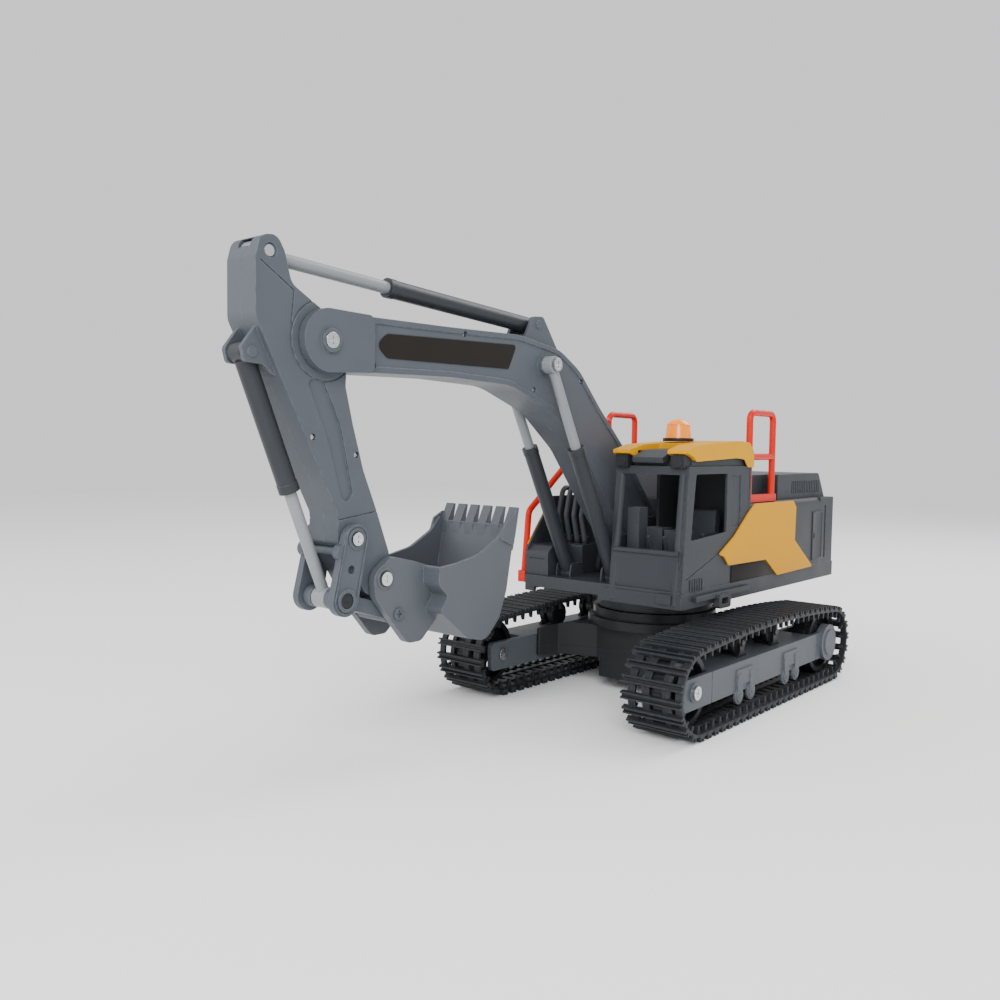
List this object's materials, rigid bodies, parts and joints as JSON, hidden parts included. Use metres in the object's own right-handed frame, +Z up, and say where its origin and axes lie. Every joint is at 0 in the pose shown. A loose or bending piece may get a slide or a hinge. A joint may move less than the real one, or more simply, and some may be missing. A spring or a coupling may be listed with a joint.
{
  "type": "toy excavator",
  "caption": "Toy tracked excavator with a slewing cab, lifting boom, swinging stick, tilting toothed bucket, moulded cylinders and turning track wheels.",
  "frame": {"origin": "on the ground, at the centre of the whole object's box in X and Y", "axes": "+X forward to the bucket, +Y to the operator's left (the cab side), +Z up"},
  "size_m": [0.583, 0.213, 0.2959],
  "materials": {
    "grey_plastic": "fine satin texture",
    "dark_plastic": "fine satin texture",
    "yellow_plastic": "smooth semi-gloss",
    "orange_plastic": "smooth semi-gloss",
    "silver_plastic": "silver-grey satin",
    "chromed_steel": "bright plated",
    "motor_steel": "plain",
    "soft_track": "matte",
    "amber_lens": "clear amber",
    "label_dark": "printed sticker, satin",
    "board_green": "solder mask",
    "battery_wrap": "shrink wrap"
  },
  "bodies": {
    "undercarriage": {"chassis_lower": "grey_plastic", "chassis_upper": "grey_plastic", "slew_ring_base": "grey_plastic", "chassis_screws": "chromed_steel", "track_beam_left": "grey_plastic", "track_beam_right": "grey_plastic", "beam_cover_left": "grey_plastic", "beam_cover_right": "grey_plastic", "track_belt_left": "soft_track", "track_belt_right": "soft_track", "idler_axles": "chromed_steel", "drive_motors": "motor_steel", "carrier_brackets": "grey_plastic"},
    "sprocket_left": {"sprocket_left": "dark_plastic"},
    "sprocket_right": {"sprocket_right": "dark_plastic"},
    "idler_left": {"idler_left": "dark_plastic"},
    "idler_right": {"idler_right": "dark_plastic"},
    "boom": {"boom_shell_left": "grey_plastic", "boom_shell_right": "grey_plastic", "label_plates": "label_dark", "boom_pins": "chromed_steel"},
    "boom_rods": {"boom_rods": "silver_plastic"},
    "boom_barrels": {"boom_barrels": "grey_plastic"},
    "arm_rod": {"arm_rod": "silver_plastic"},
    "arm_barrel": {"arm_barrel": "grey_plastic"},
    "stick": {"stick_shell_left": "grey_plastic", "stick_shell_right": "grey_plastic", "stick_pins": "chromed_steel"},
    "rocker": {"rocker_links": "grey_plastic"},
    "link": {"link_bar": "grey_plastic"},
    "bucket_rod": {"bucket_rod": "silver_plastic"},
    "bucket_barrel": {"bucket_barrel": "grey_plastic"},
    "bucket": {"bucket": "grey_plastic", "bucket_link_pin": "grey_plastic"},
    "switch": {"power_switch": "dark_plastic"},
    "house": {"deck": "grey_plastic", "house_pins": "chromed_steel", "engine_body": "grey_plastic", "counterweight": "grey_plastic", "engine_hood": "grey_plastic", "side_panel_left": "yellow_plastic", "side_panel_right": "yellow_plastic", "tank_block": "grey_plastic", "cab_shell": "grey_plastic", "cab_roof": "yellow_plastic", "roof_visor": "grey_plastic", "lamp_blocks": "dark_plastic", "operator_seat": "dark_plastic", "cab_console": "dark_plastic", "control_levers": "grey_plastic", "beacon_lens": "amber_lens", "handrail_left": "orange_plastic", "handrail_right": "orange_plastic", "side_steps": "grey_plastic", "hose_bundle": "soft_track", "battery_pack": "battery_wrap", "battery_door": "grey_plastic", "circuit_board": "board_green", "slew_motor": "dark_plastic", "house_screws": "chromed_steel"}
  },
  "joints": [
    {"name": "slew", "type": "hinge", "parent": "undercarriage", "child": "house", "pos_m": [-0.09215, 0, 0.064], "axis": [0, 0, 1], "range_deg": [-165, 165]},
    {"name": "boom_lift", "type": "hinge", "parent": "house", "child": "boom", "pos_m": [-0.08215, -0.018, 0.125], "axis": [0, -1, 0], "range_deg": [-14, 22]},
    {"name": "stick_swing", "type": "hinge", "parent": "boom", "child": "stick", "pos_m": [0.24185, -0.018, 0.2454], "axis": [0, -1, 0], "range_deg": [-15, 35]},
    {"name": "bucket_tilt", "type": "hinge", "parent": "stick", "child": "bucket", "pos_m": [0.20185, -0.018, 0.114], "axis": [0, -1, 0], "range_deg": [-10, 45]},
    {"name": "boom_rod_pivot", "type": "hinge", "parent": "boom", "child": "boom_rods", "pos_m": [0.05365, -0.018, 0.2463], "axis": [0, -1, 0], "range_deg": [-1.17, 0.82]},
    {"name": "boom_barrel_slide", "type": "slide", "parent": "boom_rods", "child": "boom_barrels", "axis": [-0.4696, 0, -0.8829], "range_m": [-0.01547, 0.02414]},
    {"name": "arm_rod_pivot", "type": "hinge", "parent": "stick", "child": "arm_rod", "pos_m": [0.27585, -0.018, 0.2878], "axis": [0, -1, 0], "range_deg": [-30.48, 13.23]},
    {"name": "arm_barrel_slide", "type": "slide", "parent": "arm_rod", "child": "arm_barrel", "axis": [-0.9982, 0, -0.0602], "range_m": [-0.02748, 0.01195]},
    {"name": "rocker_pivot", "type": "hinge", "parent": "stick", "child": "rocker", "pos_m": [0.22275, -0.018, 0.1381], "axis": [0, -1, 0], "range_deg": [-6.08, 26.68]},
    {"name": "link_pivot", "type": "hinge", "parent": "rocker", "child": "link", "pos_m": [0.23035, -0.018, 0.1045], "axis": [0, -1, 0], "range_deg": [-13.25, 3.1]},
    {"name": "bucket_rod_pivot", "type": "hinge", "parent": "rocker", "child": "bucket_rod", "pos_m": [0.23035, -0.018, 0.1045], "axis": [0, -1, 0], "range_deg": [-21.93, 5.03]},
    {"name": "bucket_barrel_slide", "type": "slide", "parent": "bucket_rod", "child": "bucket_barrel", "axis": [0.3784, 0, 0.9256], "range_m": [-0.01118, 0.00272]},
    {"name": "power_switch_slide", "type": "slide", "parent": "house", "child": "switch", "axis": [1, 0, 0], "range_m": [0, 0.004]},
    {"name": "track_drive_left", "type": "hinge", "parent": "undercarriage", "child": "sprocket_left", "pos_m": [-0.20365, 0.0865, 0.031], "axis": [0, 1, 0], "continuous": true},
    {"name": "idler_turn_left", "type": "hinge", "parent": "undercarriage", "child": "idler_left", "pos_m": [0.01935, 0.0865, 0.031], "axis": [0, 1, 0], "continuous": true},
    {"name": "track_drive_right", "type": "hinge", "parent": "undercarriage", "child": "sprocket_right", "pos_m": [-0.20365, -0.0865, 0.031], "axis": [0, 1, 0], "continuous": true},
    {"name": "idler_turn_right", "type": "hinge", "parent": "undercarriage", "child": "idler_right", "pos_m": [0.01935, -0.0865, 0.031], "axis": [0, 1, 0], "continuous": true}
  ],
  "couplings": [
    {"joint": "boom_rod_pivot", "follows": "boom_lift", "ratio": -0.0443},
    {"joint": "boom_barrel_slide", "follows": "boom_lift", "m_per_rad": 0.0621},
    {"joint": "arm_rod_pivot", "follows": "stick_swing", "ratio": -0.8622},
    {"joint": "arm_barrel_slide", "follows": "stick_swing", "m_per_rad": -0.0445},
    {"joint": "rocker_pivot", "follows": "bucket_tilt", "ratio": 0.5885},
    {"joint": "link_pivot", "follows": "bucket_tilt", "ratio": -0.2899},
    {"joint": "bucket_rod_pivot", "follows": "bucket_tilt", "ratio": -0.4828},
    {"joint": "bucket_barrel_slide", "follows": "bucket_tilt", "m_per_rad": -0.013852},
    {"joint": "idler_turn_left", "follows": "track_drive_left", "ratio": 1},
    {"joint": "idler_turn_right", "follows": "track_drive_right", "ratio": 1}
  ]
}
